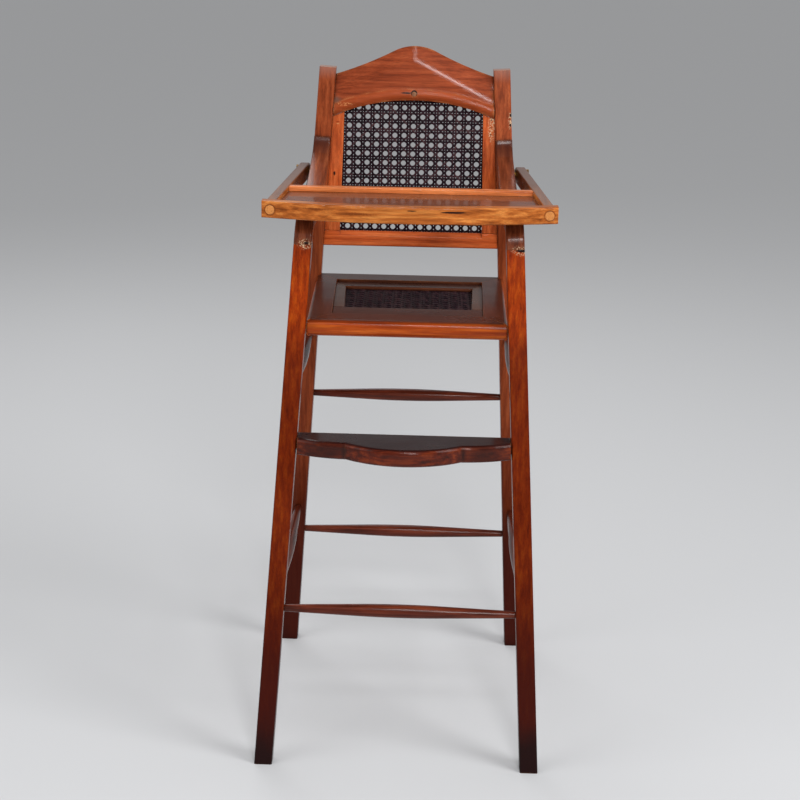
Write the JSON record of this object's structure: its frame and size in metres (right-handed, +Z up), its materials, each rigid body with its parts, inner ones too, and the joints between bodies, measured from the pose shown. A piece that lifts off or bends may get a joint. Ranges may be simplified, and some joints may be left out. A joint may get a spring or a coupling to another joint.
{
  "type": "child's high chair",
  "caption": "Varnished hardwood child's high chair with a pointed crest, caned back and seat, a bow-fronted footrest and a tray that swings over the back",
  "frame": {"origin": "on the floor, in the middle of the footprint of the feet", "axes": "X across the chair, the sitter's left on +X; the chair faces -Y; Z up from the floor"},
  "size_m": [0.3826, 0.4544, 0.9235],
  "materials": {
    "varnished_wood": "glossy reddish-brown varnish over straight-grained hardwood, worn pale at edges and dark at the feet",
    "seat_wood": "glossy brown varnish, darkened by use",
    "tray_wood": "glossy orange-brown varnish with dark streaks",
    "dark_wood": "dark, hand-polished varnish",
    "peg_wood": "bare end grain of small pegs",
    "dark_cane": "stained and varnished split cane in a six-way weave",
    "old_brass": "dull, darkened brass"
  },
  "bodies": {
    "chair": {"front_leg_left": "varnished_wood", "front_leg_right": "varnished_wood", "rear_post_left": "varnished_wood", "rear_post_right": "varnished_wood", "arm_left": "varnished_wood", "arm_right": "varnished_wood", "side_stretcher_upper_left": "varnished_wood", "side_stretcher_upper_right": "varnished_wood", "side_stretcher_lower_left": "varnished_wood", "side_stretcher_lower_right": "varnished_wood", "back_stile_left": "varnished_wood", "back_stile_right": "varnished_wood", "seat_side_rail_left": "seat_wood", "seat_side_rail_right": "seat_wood", "seat_slip_left": "seat_wood", "seat_slip_right": "seat_wood", "tray_pivot_pin_left": "old_brass", "tray_pivot_pin_right": "old_brass", "crest_rail": "varnished_wood", "crest_peg": "peg_wood", "lower_back_rail": "varnished_wood", "back_cane_panel": "dark_cane", "seat_front_rail": "seat_wood", "seat_rear_rail": "seat_wood", "seat_slip_front": "seat_wood", "seat_slip_rear": "seat_wood", "seat_cane_panel": "dark_cane", "seat_dowels": "peg_wood", "arm_dowels": "peg_wood", "footrest_board": "dark_wood", "front_stretcher": "varnished_wood", "rear_stretcher_upper": "varnished_wood", "rear_stretcher_lower": "varnished_wood", "pivot_washers": "old_brass"},
    "tray": {"tray_front_rail": "tray_wood", "tray_rear_rail": "tray_wood", "tray_bar_left": "tray_wood", "tray_bar_right": "tray_wood", "tray_panel": "dark_wood", "tray_panel_pins": "peg_wood"}
  },
  "joints": [
    {"name": "tray_swing", "type": "hinge", "parent": "chair", "child": "tray", "pos_m": [0, 0.19511, 0.74304], "axis": [-1, 0, 0], "range_deg": [0, 262]}
  ]
}
